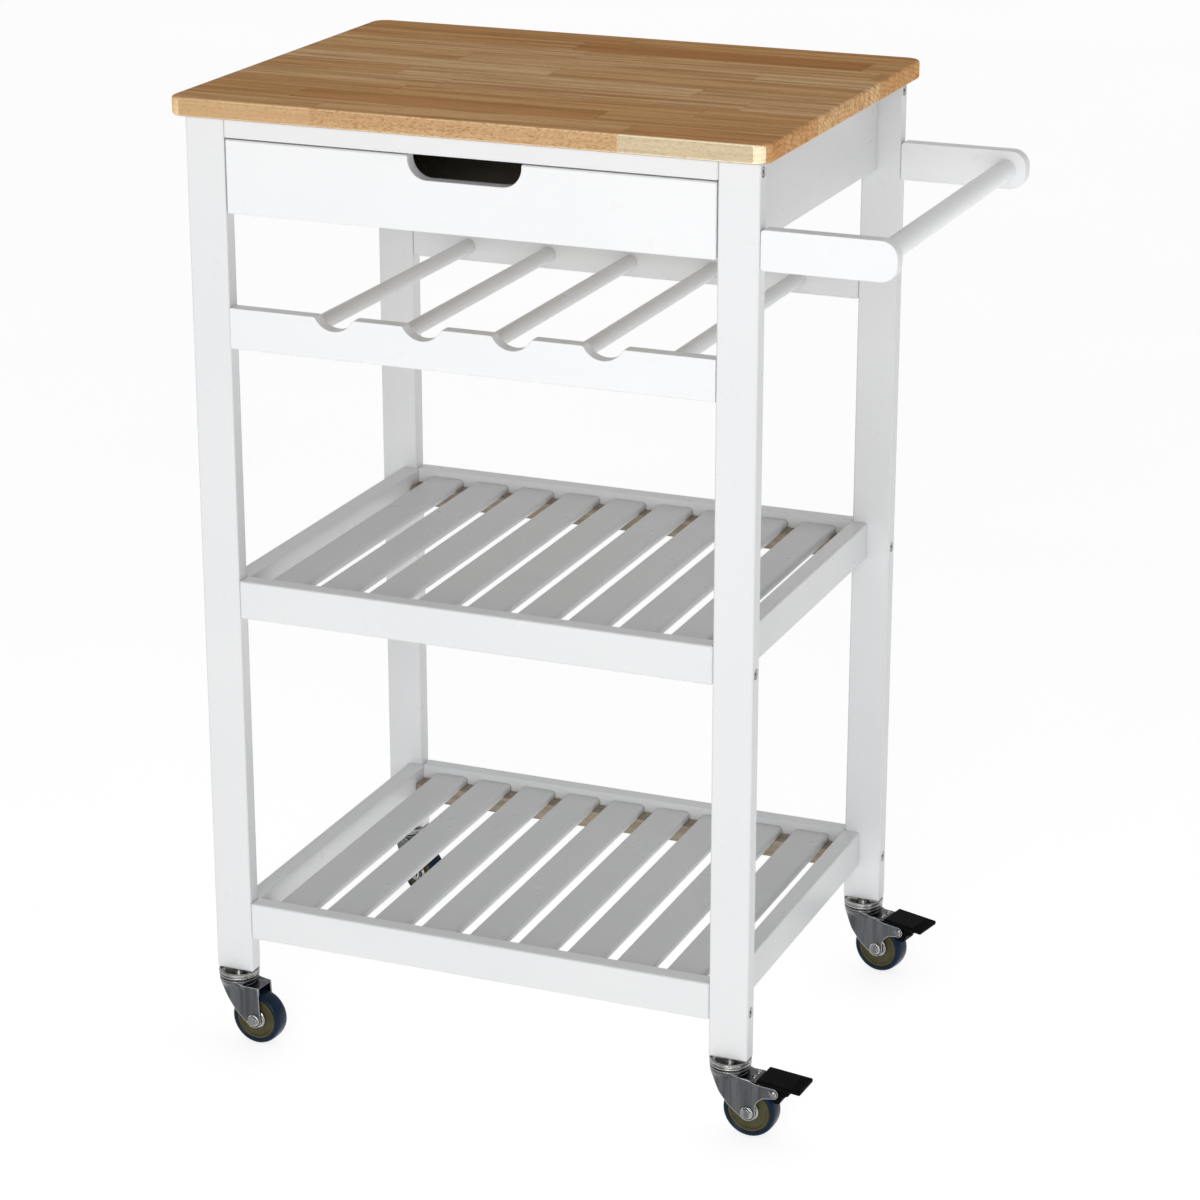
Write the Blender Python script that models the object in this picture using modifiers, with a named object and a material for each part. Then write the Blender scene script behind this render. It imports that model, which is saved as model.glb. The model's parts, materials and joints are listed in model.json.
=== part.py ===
"""Kitchen island cart: a butcher-block worktop on four flat legs, a drawer with a
cut-out grip, a wine rack, two slatted shelves, a towel bar and four swivel casters.

Units are metres, +Z is up, the drawer faces -Y and the towel bar is on the +X side.
The origin is on the floor, in the middle of the whole cart's bounding box.
"""

from math import atan2, cos, pi, radians, sin

import bmesh
import bpy
from mathutils import Euler, Vector

# ---------------------------------------------------------------- driving dimensions
GAP = 0.0003                 # clearance kept between pieces that touch
EASED = 0.001                # chamfer on the edges of painted boards
HIDDEN_EDGE = 0.0005         # chamfer on the edges of inner boards

CART_HEIGHT = 0.856
WORKTOP_THICKNESS = 0.016
WORKTOP_LENGTH = 0.524       # along X
WORKTOP_DEPTH = 0.401        # along Y
WORKTOP_CORNER = 0.014       # radius of the four corners seen from above
WORKTOP_EDGE = 0.0025        # round-over along the rim

SPAN_X = 0.504               # outer face to outer face of the legs
SPAN_Y = 0.374
LEG_WIDTH = 0.035            # along X
LEG_DEPTH = 0.015            # along Y
LEG_BOTTOM = 0.0685          # height of the legs' lower ends above the floor

RAIL_HEIGHT = 0.034
TOP_RAIL_HEIGHT = 0.0175
APRON_HEIGHT = 0.079
SIDE_RAIL_THICKNESS = 0.016
SIDE_RAIL_INSET = 0.021      # from a leg's outer face to a side rail's outer face
MID_SHELF_BASE = 0.4035      # lower edges of the two shelves' rails
BOTTOM_SHELF_BASE = 0.1015

SLAT_COUNT = 9
SLAT_WIDTH = 0.034
SLAT_PITCH = 0.0462
SLAT_THICKNESS = 0.009
SLAT_DROP = 0.0055           # slat tops below the rail tops
SLAT_EDGE = 0.0018
BATTEN_DEPTH = 0.019
BATTEN_HEIGHT = 0.015

RACK_BASE = 0.6435           # lower edge of the wine rack's rails
RACK_HEIGHT = 0.035
RACK_THICKNESS = 0.012
RACK_PITCH = 0.0802          # bottle to bottle
RACK_ROD_RADIUS = 0.00675
RACK_ROD_RISE = 0.014        # rod axis above the rails' lower edge
RACK_ROD_COUNT = 5
NOTCH_COUNT = 4
NOTCH_WIDTH = 0.035
NOTCH_DEPTH = 0.011
NOTCH_SHOULDER = 0.0025      # rounding where a notch meets the rail's top edge

DRAWER_REVEAL = 0.0012       # reveal above and beside the drawer front
DRAWER_BASE = 0.7590
DRAWER_FRONT_THICKNESS = 0.012
GRIP_WIDTH = 0.1005
GRIP_DEPTH = 0.0195
GRIP_CORNER = 0.0170
BOX_SIDE_THICKNESS = 0.010
BOX_SIDE_CLEARANCE = 0.0015
BOX_HEIGHT = 0.046
BOX_DEPTH = 0.325            # drawer box behind the drawer front
BOX_BOTTOM_THICKNESS = 0.004
RUNNER_HEIGHT = 0.010
RUNNER_WIDTH = 0.0150

ARM_REACH = 0.1125           # towel-bar arm beyond the leg's outer face
ARM_HEIGHT = 0.033
ARM_THICKNESS = 0.012
ARM_BASE = 0.7535
ARM_OUTER_RADIUS = 0.014
ARM_INNER_RADIUS = 0.003
TOWEL_ROD_REACH = 0.0943     # rod axis beyond the leg's outer face
TOWEL_ROD_RADIUS = 0.009

BOLT_RECESS_RADIUS = 0.0048
BOLT_RECESS_DEPTH = 0.002
BOLT_HEIGHTS = (0.1120, 0.4155, 0.8310)

# Caster: heights are below the leg's lower end, "trail" is along the fork.
STEM_RADIUS = 0.004
STEM_LENGTH = 0.030
HEAD_RADIUS = 0.0183
TRAIL = 0.0203
AXLE_DROP = 0.0444
WHEEL_RADIUS = 0.0241
HUB_RADIUS = 0.0189
TYRE_HALF_WIDTH = 0.0085
BOSS_HALF_WIDTH = 0.0091
BOSS_RADIUS = 0.0080
AXLE_RADIUS = 0.0030
PLATE_INNER = 0.0095         # half gap between the fork's side plates
PLATE_THICKNESS = 0.002
BOLT_HEAD_RADIUS = 0.0052
BOLT_HEAD_HEIGHT = 0.0035
PIVOT_TRAIL = 0.0435         # brake pivot
PIVOT_DROP = 0.0220
PIVOT_RADIUS = 0.0022
PEDAL_LOW = (-0.0141, -0.0150, 0.0068)     # tread's corners, measured from the brake pivot
PEDAL_HIGH = (0.0257, 0.0150, 0.0108)
PEDAL_TILT = radians(4.0)

# Each caster: side along X, side along Y, swivel angle at rest, has a brake.
CASTERS = {
    "caster_fl": (-1, -1, radians(-4.0), False),
    "caster_fr": (1, -1, radians(-3.0), True),
    "caster_bl": (-1, 1, radians(-25.0), False),
    "caster_br": (1, 1, radians(-12.0), True),
}

# ---------------------------------------------------------------- derived positions
HALF_X = SPAN_X / 2
HALF_Y = SPAN_Y / 2
WORKTOP_BASE = CART_HEIGHT - WORKTOP_THICKNESS
LEG_INNER_X = HALF_X - LEG_WIDTH
LEG_INNER_Y = HALF_Y - LEG_DEPTH
LEG_CENTRE_X = HALF_X - LEG_WIDTH / 2
LEG_CENTRE_Y = HALF_Y - LEG_DEPTH / 2
SIDE_OUTER_X = HALF_X - SIDE_RAIL_INSET
SIDE_INNER_X = SIDE_OUTER_X - SIDE_RAIL_THICKNESS
BOX_CENTRE_X = (HALF_X + ARM_REACH - WORKTOP_LENGTH / 2) / 2

WHITE = ("white_paint", (0.86, 0.87, 0.88), 0.35, 0.0)
OAK = ("butcher_block", (0.62, 0.36, 0.16), 0.40, 0.0)
PLY = ("plywood", (0.72, 0.58, 0.40), 0.60, 0.0)
ZINC = ("zinc_plate", (0.55, 0.56, 0.57), 0.28, 1.0)
RUBBER = ("grey_rubber", (0.03, 0.05, 0.07), 0.45, 0.0)
HUB = ("olive_plastic", (0.12, 0.12, 0.06), 0.50, 0.0)
BLACK = ("black_plastic", (0.012, 0.012, 0.013), 0.45, 0.0)


# ---------------------------------------------------------------- scene and materials
def clear_scene():
    """Remove every object that the scene starts with."""
    for scene_object in list(bpy.data.objects):
        bpy.data.objects.remove(scene_object, do_unlink=True)


def new_collection(name):
    """Make a collection under the scene's own."""
    collection = bpy.data.collections.new(name)
    bpy.context.scene.collection.children.link(collection)
    return collection


def material(spec):
    """Return the material of this name, made on first use."""
    name, colour, roughness, metallic = spec
    existing = bpy.data.materials.get(name)
    if existing:
        return existing
    made = bpy.data.materials.new(name)
    made.use_nodes = True
    shader = made.node_tree.nodes["Principled BSDF"]
    shader.inputs["Base Color"].default_value = (*colour, 1.0)
    shader.inputs["Roughness"].default_value = roughness
    shader.inputs["Metallic"].default_value = metallic
    return made


def place(piece, spec, parent=None):
    """Put a finished piece into the cart's collection with its material."""
    for collection in list(piece.users_collection):
        collection.objects.unlink(piece)
    CART.objects.link(piece)
    piece.data.materials.clear()
    piece.data.materials.append(material(spec))
    piece.parent = parent or CART_FRAME
    return piece


def as_tool(piece, parent=None):
    """Keep a piece as a cutter or a part to join, out of the model itself."""
    for collection in list(piece.users_collection):
        collection.objects.unlink(piece)
    TOOLS.objects.link(piece)
    piece.hide_render = True
    piece.display_type = "WIRE"
    piece.parent = parent or CART_FRAME
    return piece


# ---------------------------------------------------------------- modelling tools
def box(name, low, high):
    """A cube primitive stretched between two corners, with its scale applied."""
    low = Vector(low)
    high = Vector(high)
    bpy.ops.mesh.primitive_cube_add(size=1.0)
    piece = bpy.context.object
    piece.name = name
    piece.data.name = name
    size = high - low
    for vertex in piece.data.vertices:
        vertex.co = Vector((vertex.co.x * size.x, vertex.co.y * size.y, vertex.co.z * size.z))
    piece.location = (low + high) / 2
    return piece


def cylinder(name, radius, depth, location, axis="Z", sides=20):
    """A cylinder primitive along one of the axes."""
    bpy.ops.mesh.primitive_cylinder_add(vertices=sides, radius=radius, depth=depth)
    piece = bpy.context.object
    piece.name = name
    piece.data.name = name
    turn = {"X": Euler((0, pi / 2, 0)), "Y": Euler((pi / 2, 0, 0)), "Z": Euler((0, 0, 0))}[axis]
    piece.data.transform(turn.to_matrix().to_4x4())
    piece.location = location
    return piece


def bevel(piece, width, segments=1):
    """Ease every sharp edge."""
    modifier = piece.modifiers.new("eased_edges", "BEVEL")
    modifier.width = width
    modifier.segments = segments
    modifier.limit_method = "ANGLE"
    modifier.angle_limit = radians(40)
    return piece


def boolean(piece, tool, operation):
    """Cut a tool out of a piece or join it on."""
    modifier = piece.modifiers.new(operation.lower(), "BOOLEAN")
    modifier.operation = operation
    modifier.object = tool
    return piece


def board(name, low, high, spec=WHITE, edge=EASED):
    """A straight board with eased edges."""
    piece = box(name, low, high)
    bevel(piece, edge)
    return place(piece, spec)


def outline_plate(name, points, thickness):
    """A flat outline of (across, up) points made into a closed upright plate.

    The plate is centred on the plane through its own origin.
    """
    curve = bpy.data.curves.new(name, "CURVE")
    curve.dimensions = "2D"
    curve.fill_mode = "BOTH"
    curve.extrude = thickness / 2
    spline = curve.splines.new("POLY")
    spline.points.add(len(points) - 1)
    for target, (across, up) in zip(spline.points, points):
        target.co = (across, up, 0.0, 1.0)
    spline.use_cyclic_u = True
    drawn = bpy.data.objects.new(name, curve)
    bpy.context.scene.collection.objects.link(drawn)
    graph = bpy.context.evaluated_depsgraph_get()
    mesh = bpy.data.meshes.new_from_object(drawn.evaluated_get(graph))
    mesh.name = name
    work = bmesh.new()
    work.from_mesh(mesh)
    bmesh.ops.remove_doubles(work, verts=work.verts, dist=0.00001)
    bmesh.ops.recalc_face_normals(work, faces=work.faces)
    work.to_mesh(mesh)
    work.free()
    bpy.data.objects.remove(drawn, do_unlink=True)
    bpy.data.curves.remove(curve)
    mesh.transform(Euler((pi / 2, 0, 0)).to_matrix().to_4x4())
    piece = bpy.data.objects.new(name, mesh)
    bpy.context.scene.collection.objects.link(piece)
    return piece


def turned(name, profile, sides, along_y=False):
    """A body of revolution from an outer profile of (radius, height), top to bottom.

    The profile starts and ends on the axis unless it is a closed ring.
    """
    mesh = bpy.data.meshes.new(name)
    ring = profile[0][0] > 0
    count = len(profile)
    edges = [(index, index + 1) for index in range(count - 1)]
    if ring:
        edges.append((count - 1, 0))
    mesh.from_pydata([(radius, 0.0, height) for radius, height in profile], edges, [])
    piece = bpy.data.objects.new(name, mesh)
    bpy.context.scene.collection.objects.link(piece)
    screw = piece.modifiers.new("turned", "SCREW")
    screw.axis = "Z"
    screw.angle = 2 * pi
    screw.screw_offset = 0.0
    screw.steps = sides
    screw.render_steps = sides
    screw.use_merge_vertices = True
    screw.merge_threshold = 0.00001
    graph = bpy.context.evaluated_depsgraph_get()
    solid = bpy.data.meshes.new_from_object(piece.evaluated_get(graph))
    solid.name = name
    if along_y:
        solid.transform(Euler((pi / 2, 0, 0)).to_matrix().to_4x4())
    piece.modifiers.clear()
    piece.data = solid
    bpy.data.meshes.remove(mesh)
    return piece


def smooth(piece):
    """Shade a round piece smooth, with its real corners kept sharp."""
    piece.data.shade_smooth()
    piece.data.set_sharp_from_angle(angle=radians(35))
    return piece


def arc(centre, radius, start, end, steps):
    """Points on an arc, angles in radians."""
    cx, cy = centre
    angles = [start + (end - start) * step / steps for step in range(steps + 1)]
    return [(cx + radius * cos(angle), cy + radius * sin(angle)) for angle in angles]


# ---------------------------------------------------------------- worktop and frame
def make_worktop():
    """The slab: rounded corners seen from above and a rounded rim."""
    piece = box(
        "worktop",
        (-WORKTOP_LENGTH / 2, -WORKTOP_DEPTH / 2, WORKTOP_BASE),
        (WORKTOP_LENGTH / 2, WORKTOP_DEPTH / 2, CART_HEIGHT),
    )
    work = bmesh.new()
    work.from_mesh(piece.data)
    upright = [edge for edge in work.edges if abs(edge.verts[0].co.z - edge.verts[1].co.z) > 0.001]
    bmesh.ops.bevel(work, geom=upright, offset=WORKTOP_CORNER, segments=8, affect="EDGES", profile=0.5)
    work.to_mesh(piece.data)
    work.free()
    bevel(piece, WORKTOP_EDGE, segments=2)
    return place(piece, OAK)


def make_leg(name, side_x, side_y):
    """A flat leg with a socket for the caster stem and recesses for the frame bolts."""
    centre_x = side_x * LEG_CENTRE_X
    centre_y = side_y * LEG_CENTRE_Y
    piece = box(
        name,
        (centre_x - LEG_WIDTH / 2, centre_y - LEG_DEPTH / 2, LEG_BOTTOM),
        (centre_x + LEG_WIDTH / 2, centre_y + LEG_DEPTH / 2, WORKTOP_BASE - GAP),
    )
    bevel(piece, EASED)
    socket_depth = STEM_LENGTH + 2 * GAP
    socket = cylinder(
        name + "_socket",
        STEM_RADIUS + GAP,
        2 * socket_depth,
        (centre_x, centre_y, LEG_BOTTOM),
        sides=16,
    )
    boolean(piece, as_tool(socket), "DIFFERENCE")
    for height in BOLT_HEIGHTS:
        recess = cylinder(
            f"{name}_bolt_recess_{round(height * 1000)}",
            BOLT_RECESS_RADIUS,
            2 * BOLT_RECESS_DEPTH,
            (side_x * HALF_X, centre_y, height),
            axis="X",
            sides=14,
        )
        boolean(piece, as_tool(recess), "DIFFERENCE")
    return place(piece, WHITE)


def make_top_frame():
    """The narrow rail over the drawer, the back panel and the two side panels."""
    top = WORKTOP_BASE - GAP
    inner = LEG_INNER_X - GAP
    panel_base = WORKTOP_BASE - APRON_HEIGHT
    board("front_top_rail", (-inner, -HALF_Y, WORKTOP_BASE - TOP_RAIL_HEIGHT), (inner, -LEG_INNER_Y, top))
    board("back_panel", (-inner, LEG_INNER_Y, panel_base), (inner, HALF_Y, top))
    make_side_pair("side_panel", panel_base, top)


def make_side_pair(name, base, top):
    """Two boards that run front to back between the legs, left and right."""
    reach = LEG_INNER_Y - GAP
    board(name + "_left", (-SIDE_OUTER_X, -reach, base), (-SIDE_INNER_X, reach, top))
    board(name + "_right", (SIDE_INNER_X, -reach, base), (SIDE_OUTER_X, reach, top))


# ---------------------------------------------------------------- drawer
def make_drawer():
    """The drawer front with its grip, and the open box behind it."""
    front_half = LEG_INNER_X - DRAWER_REVEAL
    front_top = WORKTOP_BASE - TOP_RAIL_HEIGHT - DRAWER_REVEAL
    front = box(
        "drawer_front",
        (-front_half, -HALF_Y, DRAWER_BASE),
        (front_half, -HALF_Y + DRAWER_FRONT_THICKNESS, front_top),
    )
    bevel(front, EASED)
    half = GRIP_WIDTH / 2
    floor = -GRIP_DEPTH
    grip_outline = [(-half, GRIP_DEPTH)]
    grip_outline += arc((-half + GRIP_CORNER, floor + GRIP_CORNER), GRIP_CORNER, pi, 1.5 * pi, 10)
    grip_outline += arc((half - GRIP_CORNER, floor + GRIP_CORNER), GRIP_CORNER, 1.5 * pi, 2 * pi, 10)
    grip_outline += [(half, GRIP_DEPTH)]
    grip = outline_plate("drawer_grip_cutter", grip_outline, 4 * DRAWER_FRONT_THICKNESS)
    grip.location = (0, -HALF_Y, front_top)
    boolean(front, as_tool(grip), "DIFFERENCE")
    place(front, WHITE)

    outer = SIDE_INNER_X - BOX_SIDE_CLEARANCE
    inner = outer - BOX_SIDE_THICKNESS
    base = WORKTOP_BASE - APRON_HEIGHT + RUNNER_HEIGHT + GAP
    top = base + BOX_HEIGHT
    near = -HALF_Y + DRAWER_FRONT_THICKNESS + GAP
    far = near + BOX_DEPTH
    board("drawer_side_left", (-outer, near, base), (-inner, far, top), WHITE, HIDDEN_EDGE)
    board("drawer_side_right", (inner, near, base), (outer, far, top), WHITE, HIDDEN_EDGE)
    within = inner - GAP
    back_near = far - BOX_SIDE_THICKNESS
    board("drawer_back", (-within, back_near, base), (within, far, top), WHITE, HIDDEN_EDGE)
    board(
        "drawer_bottom",
        (-within, near, base + GAP),
        (within, back_near - GAP, base + GAP + BOX_BOTTOM_THICKNESS),
        PLY,
        HIDDEN_EDGE,
    )


def make_runners():
    """Wooden strips on the side panels that the drawer box slides on."""
    base = WORKTOP_BASE - APRON_HEIGHT
    outer = SIDE_INNER_X - GAP
    inner = outer - RUNNER_WIDTH
    reach = LEG_INNER_Y - GAP
    for name, low_x, high_x in (("runner_left", -outer, -inner), ("runner_right", inner, outer)):
        board(name, (low_x, -reach, base), (high_x, reach, base + RUNNER_HEIGHT), WHITE, HIDDEN_EDGE)


# ---------------------------------------------------------------- wine rack
def notch_points(centre):
    """One bottle-neck notch in a top edge at height 0, from left to right.

    The notch is a circular arc whose ends turn into the edge over small shoulders.
    """
    half = NOTCH_WIDTH / 2
    radius = (half * half + NOTCH_DEPTH * NOTCH_DEPTH) / (2 * NOTCH_DEPTH)
    arc_centre = (centre, radius - NOTCH_DEPTH)
    reach = radius + NOTCH_SHOULDER
    rise = arc_centre[1] + NOTCH_SHOULDER
    sideways = (reach * reach - rise * rise) ** 0.5
    lean = atan2(-rise, -sideways)
    left_centre = (centre - sideways, -NOTCH_SHOULDER)
    right_centre = (centre + sideways, -NOTCH_SHOULDER)
    touch = atan2(rise, sideways)
    points = arc(left_centre, NOTCH_SHOULDER, pi / 2, touch, 4)
    points += arc(arc_centre, radius, lean, -pi - lean, 16)[1:-1]
    points += arc(right_centre, NOTCH_SHOULDER, pi - touch, pi / 2, 4)
    return points


def make_wine_rack():
    """Notched front rail, plain back rail and the rods that cradle the bottles."""
    half = LEG_INNER_X - GAP
    outline = [(-half, -RACK_HEIGHT), (-half, 0.0)]
    for index in range(NOTCH_COUNT):
        outline += notch_points((index - (NOTCH_COUNT - 1) / 2) * RACK_PITCH)
    outline += [(half, 0.0), (half, -RACK_HEIGHT)]
    front = outline_plate("wine_rail_front", outline, RACK_THICKNESS)
    front.location = (0, -HALF_Y + RACK_THICKNESS / 2, RACK_BASE + RACK_HEIGHT)
    place(front, WHITE)
    board(
        "wine_rail_back",
        (-half, LEG_INNER_Y, RACK_BASE),
        (half, LEG_INNER_Y + RACK_THICKNESS, RACK_BASE + RACK_HEIGHT),
    )
    near = -HALF_Y + RACK_THICKNESS + GAP
    far = LEG_INNER_Y - GAP
    for index in range(RACK_ROD_COUNT):
        across = (index - (RACK_ROD_COUNT - 1) / 2) * RACK_PITCH
        rod = cylinder(
            f"wine_rod_{index + 1}",
            RACK_ROD_RADIUS,
            far - near,
            (across, (near + far) / 2, RACK_BASE + RACK_ROD_RISE),
            axis="Y",
            sides=16,
        )
        place(smooth(rod), WHITE)


# ---------------------------------------------------------------- shelves
def make_slat_deck(name, rail_top):
    """Nine slats in one row, joined by the two battens that carry them."""
    top = rail_top - SLAT_DROP
    reach = LEG_INNER_Y - 2 * GAP
    first = -(SLAT_COUNT - 1) / 2 * SLAT_PITCH
    deck = box(
        name,
        (first - SLAT_WIDTH / 2, -reach, top - SLAT_THICKNESS),
        (first + SLAT_WIDTH / 2, reach, top),
    )
    bevel(deck, SLAT_EDGE)
    row = deck.modifiers.new("row", "ARRAY")
    row.count = SLAT_COUNT
    row.use_relative_offset = False
    row.use_constant_offset = True
    row.constant_offset_displace = (SLAT_PITCH, 0, 0)
    half = SIDE_INNER_X - 2 * GAP
    batten_top = top - SLAT_THICKNESS + SLAT_EDGE
    batten_base = top - SLAT_THICKNESS - BATTEN_HEIGHT
    inset = reach - 2 * GAP
    for end, low_y in (("front", -inset), ("back", inset - BATTEN_DEPTH)):
        batten = box(
            f"{name}_batten_{end}",
            (-half, low_y, batten_base),
            (half, low_y + BATTEN_DEPTH, batten_top),
        )
        boolean(deck, as_tool(batten), "UNION")
    return place(deck, WHITE)


def make_shelf(name, base):
    """A frame of four rails round a slatted deck."""
    top = base + RAIL_HEIGHT
    half = LEG_INNER_X - GAP
    board(name + "_rail_front", (-half, -HALF_Y, base), (half, -LEG_INNER_Y, top))
    board(name + "_rail_back", (-half, LEG_INNER_Y, base), (half, HALF_Y, top))
    make_side_pair(name + "_rail", base, top)
    make_slat_deck(name + "_slats", top)


# ---------------------------------------------------------------- towel bar
def make_towel_bar():
    """Two flat arms on the right-hand legs and the round rod between them."""
    root = HALF_X + GAP
    tip = HALF_X + ARM_REACH
    small, large = ARM_INNER_RADIUS, ARM_OUTER_RADIUS
    low, high = -ARM_HEIGHT / 2, ARM_HEIGHT / 2
    outline = arc((root + small, low + small), small, pi, 1.5 * pi, 4)
    outline += arc((tip - large, low + large), large, 1.5 * pi, 2 * pi, 12)
    outline += arc((tip - large, high - large), large, 0, pi / 2, 12)
    outline += arc((root + small, high - small), small, pi / 2, pi, 4)
    centre_z = ARM_BASE + ARM_HEIGHT / 2
    for name, side in (("towel_arm_front", -1), ("towel_arm_back", 1)):
        arm = outline_plate(name, outline, ARM_THICKNESS)
        arm.location = (0, side * LEG_CENTRE_Y, centre_z)
        bevel(arm, EASED)
        place(arm, WHITE)
    length = 2 * (LEG_CENTRE_Y - ARM_THICKNESS / 2 - GAP)
    rod = cylinder(
        "towel_rod", TOWEL_ROD_RADIUS, length, (HALF_X + TOWEL_ROD_REACH, 0, centre_z), axis="Y"
    )
    place(smooth(rod), WHITE)


# ---------------------------------------------------------------- casters
def stem_profile():
    """Stem, collar, dished head plate and the two ridges of its raceway."""
    return [
        (0.0, STEM_LENGTH),
        (STEM_RADIUS, STEM_LENGTH),
        (STEM_RADIUS, -GAP),
        (0.0065, -GAP),
        (0.0065, -0.0035),
        (0.0135, -0.0035),
        (0.0158, -0.0010),
        (0.0174, -0.0006),
        (HEAD_RADIUS, -0.0016),
        (HEAD_RADIUS, -0.0028),
        (0.0172, -0.0037),
        (0.0179, -0.0048),
        (0.0174, -0.0064),
        (0.0, -0.0064),
    ]


def cup_profile():
    """Round top of the fork, just under the head plate."""
    return [
        (0.0, -0.0067),
        (0.0168, -0.0067),
        (0.0176, -0.0080),
        (0.0172, -0.0105),
        (0.0160, -0.0130),
        (0.0, -0.0130),
    ]


def fork_plate_outline(braked):
    """Side plate of the fork as (along the trail, height) points."""
    foot = 0.0070
    axle = (TRAIL, -AXLE_DROP)
    points = [(0.0120, -0.0120), (-0.0150, -0.0120), (-0.0122, -0.0180), (0.0014, -0.0374)]
    points += arc(axle, foot, radians(215), radians(360), 6)
    if not braked:
        return points + [(TRAIL + foot, -0.0120)]
    points += [(0.0275, -0.0370), (0.0300, -0.0318), (0.0345, -0.0283)]
    points += arc((PIVOT_TRAIL, -PIVOT_DROP), 0.0046, radians(-110), radians(90), 6)
    return points + [(0.0290, -0.0168), (0.0200, -0.0140)]


def make_fork(name, pivot, braked):
    """Pressed-steel fork: cup, web and two side plates in one piece."""
    fork = place(turned(name + "_fork", cup_profile(), 20), ZINC, pivot)
    outer = PLATE_INNER + PLATE_THICKNESS
    web_end = 0.0285 if braked else TRAIL + 0.0068
    web = box(name + "_fork_web", (-0.0140, -outer + 0.0004, -0.0152), (web_end, outer - 0.0004, -0.0124))
    boolean(fork, as_tool(web, pivot), "UNION")
    for side in (-1, 1):
        plate = outline_plate(
            f"{name}_fork_plate_{'near' if side < 0 else 'far'}",
            fork_plate_outline(braked),
            PLATE_THICKNESS,
        )
        plate.location = (0, side * (PLATE_INNER + PLATE_THICKNESS / 2), 0)
        boolean(fork, as_tool(plate, pivot), "UNION")
    holes = [("axle", TRAIL, AXLE_DROP, AXLE_RADIUS)]
    if braked:
        holes.append(("pivot", PIVOT_TRAIL, PIVOT_DROP, PIVOT_RADIUS))
    for label, along, drop, radius in holes:
        hole = cylinder(
            f"{name}_fork_{label}_hole", radius + GAP, 0.06, (along, 0, -drop), axis="Y", sides=16
        )
        boolean(fork, as_tool(hole, pivot), "DIFFERENCE")


def make_axle(name, pivot):
    """Axle bolt: a hexagon head, the shank and a nut."""
    outer = PLATE_INNER + PLATE_THICKNESS + GAP
    end = outer + BOLT_HEAD_HEIGHT
    centre = (TRAIL, 0, -AXLE_DROP)
    axle = cylinder(name + "_axle", AXLE_RADIUS, 2 * outer + 0.002, centre, axis="Y", sides=16)
    for label, side in (("head", -1), ("nut", 1)):
        middle = side * (outer + end) / 2
        hexagon = cylinder(
            f"{name}_axle_{label}",
            BOLT_HEAD_RADIUS,
            BOLT_HEAD_HEIGHT,
            (TRAIL, middle, -AXLE_DROP),
            axis="Y",
            sides=6,
        )
        boolean(axle, as_tool(hexagon, pivot), "UNION")
    return place(axle, ZINC, pivot)


def make_wheel(name, spin):
    """Rubber tyre on a plastic hub that turns on the axle."""
    half = TYRE_HALF_WIDTH
    seat = HUB_RADIUS + GAP
    shoulder = 0.0022
    tyre_profile = [
        (seat, half - 0.0004),
        (HUB_RADIUS + 0.0016, half),
        (WHEEL_RADIUS - shoulder, half),
        (WHEEL_RADIUS - 0.0005, half - shoulder),
        (WHEEL_RADIUS, half - 2.2 * shoulder),
        (WHEEL_RADIUS, -half + 2.2 * shoulder),
        (WHEEL_RADIUS - 0.0005, -half + shoulder),
        (WHEEL_RADIUS - shoulder, -half),
        (HUB_RADIUS + 0.0016, -half),
        (seat, -half + 0.0004),
    ]
    tyre = turned(name + "_tyre", tyre_profile, 32, along_y=True)
    place(smooth(tyre), RUBBER, spin)

    face = half - 0.0012
    bore = AXLE_RADIUS + GAP
    hub_profile = [
        (bore, BOSS_HALF_WIDTH),
        (BOSS_RADIUS - 0.0006, BOSS_HALF_WIDTH),
        (BOSS_RADIUS, face),
        (HUB_RADIUS, face),
        (HUB_RADIUS, -face),
        (BOSS_RADIUS, -face),
        (BOSS_RADIUS - 0.0006, -BOSS_HALF_WIDTH),
        (bore, -BOSS_HALF_WIDTH),
    ]
    hub = turned(name + "_hub", hub_profile, 32, along_y=True)
    place(smooth(hub), HUB, spin)


def make_brake(name, pivot):
    """Brake pedal on its pin, with a shoe that swings in to the tyre."""
    width = 2 * (PLATE_INNER - 0.0009)
    block_outline = [
        (0.0375, -0.0125),
        (0.0375, -0.0245),
        (0.0445, -0.0322),
        (0.0490, -0.0315),
        (0.0520, -0.0245),
        (0.0570, -0.0225),
        (0.0575, -0.0125),
    ]
    hinge = bpy.data.objects.new(name + "_brake_pivot", None)
    CART.objects.link(hinge)
    hinge.parent = pivot
    hinge.location = (PIVOT_TRAIL, 0, -PIVOT_DROP)

    relative = [(along - PIVOT_TRAIL, height + PIVOT_DROP) for along, height in block_outline]
    pedal = place(outline_plate(name + "_brake_pedal", relative, width), BLACK, hinge)
    tread = box(name + "_brake_tread", PEDAL_LOW, PEDAL_HIGH)
    bevel(tread, 0.0012)
    tread.rotation_euler = (0, PEDAL_TILT, 0)
    boolean(pedal, as_tool(tread, hinge), "UNION")
    hole = cylinder(
        name + "_brake_hole", PIVOT_RADIUS + GAP, 0.05, (0, 0, 0), axis="Y", sides=16
    )
    boolean(pedal, as_tool(hole, hinge), "DIFFERENCE")

    outer = PLATE_INNER + PLATE_THICKNESS + GAP
    pin_profile = [
        (0.0, outer + 0.0014),
        (0.0026, outer + 0.0011),
        (0.0036, outer + 0.0002),
        (0.0036, outer),
        (PIVOT_RADIUS, outer),
        (PIVOT_RADIUS, -outer),
        (0.0036, -outer),
        (0.0036, -outer - 0.0002),
        (0.0026, -outer - 0.0011),
        (0.0, -outer - 0.0014),
    ]
    pin = turned(name + "_brake_pin", pin_profile, 16, along_y=True)
    pin.location = (PIVOT_TRAIL, 0, -PIVOT_DROP)
    place(smooth(pin), ZINC, pivot)


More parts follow.
